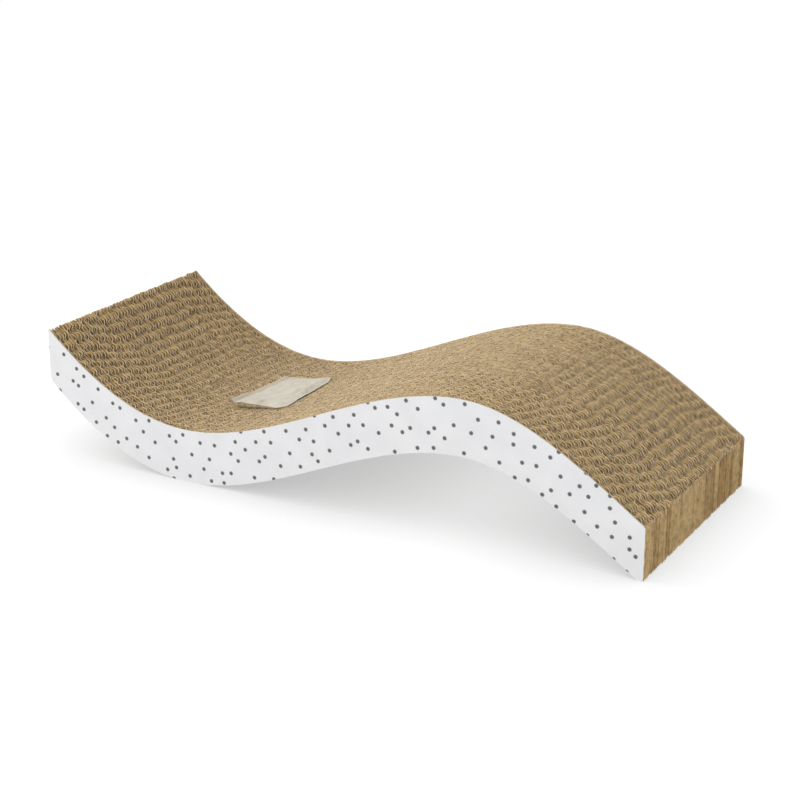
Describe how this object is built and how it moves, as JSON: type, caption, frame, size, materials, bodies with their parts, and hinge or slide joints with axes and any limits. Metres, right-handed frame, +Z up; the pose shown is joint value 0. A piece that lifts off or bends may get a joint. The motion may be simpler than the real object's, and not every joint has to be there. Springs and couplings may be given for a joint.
{
  "type": "cardboard cat scratcher",
  "caption": "Wave-shaped cat scratcher of upright corrugated boards glued side by side between dotted side panels, with a loose catnip sachet in its hollow.",
  "frame": {"origin": "on the floor, under the middle of the scratcher's length and width", "axes": "+X along the scratcher from its raised end to its foot, +Y across the boards away from the near side panel, +Z up"},
  "size_m": [0.5036, 0.2, 0.1069],
  "materials": {
    "corrugated_cardboard": "matte",
    "printed_board": "matte",
    "sachet_film": "satin",
    "dried_catnip": "matte"
  },
  "bodies": {
    "scratcher": {"corrugated_board_01": "corrugated_cardboard", "corrugated_board_02": "corrugated_cardboard", "corrugated_board_03": "corrugated_cardboard", "corrugated_board_04": "corrugated_cardboard", "corrugated_board_05": "corrugated_cardboard", "corrugated_board_06": "corrugated_cardboard", "corrugated_board_07": "corrugated_cardboard", "corrugated_board_08": "corrugated_cardboard", "corrugated_board_09": "corrugated_cardboard", "corrugated_board_10": "corrugated_cardboard", "corrugated_board_11": "corrugated_cardboard", "corrugated_board_12": "corrugated_cardboard", "corrugated_board_13": "corrugated_cardboard", "corrugated_board_14": "corrugated_cardboard", "corrugated_board_15": "corrugated_cardboard", "corrugated_board_16": "corrugated_cardboard", "corrugated_board_17": "corrugated_cardboard", "corrugated_board_18": "corrugated_cardboard", "corrugated_board_19": "corrugated_cardboard", "corrugated_board_20": "corrugated_cardboard", "corrugated_board_21": "corrugated_cardboard", "corrugated_board_22": "corrugated_cardboard", "corrugated_board_23": "corrugated_cardboard", "corrugated_board_24": "corrugated_cardboard", "corrugated_board_25": "corrugated_cardboard", "corrugated_board_26": "corrugated_cardboard", "corrugated_board_27": "corrugated_cardboard", "corrugated_board_28": "corrugated_cardboard", "corrugated_board_29": "corrugated_cardboard", "near_printed_panel": "printed_board", "far_printed_panel": "printed_board"},
    "sachet": {"sachet_lower_film": "sachet_film", "catnip_filling": "dried_catnip", "sachet_upper_film": "sachet_film"}
  },
  "joints": [
    {"name": "sachet_lift", "type": "slide", "parent": "scratcher", "child": "sachet", "axis": [0, 0, 1], "range_m": [0, 0.15]}
  ]
}
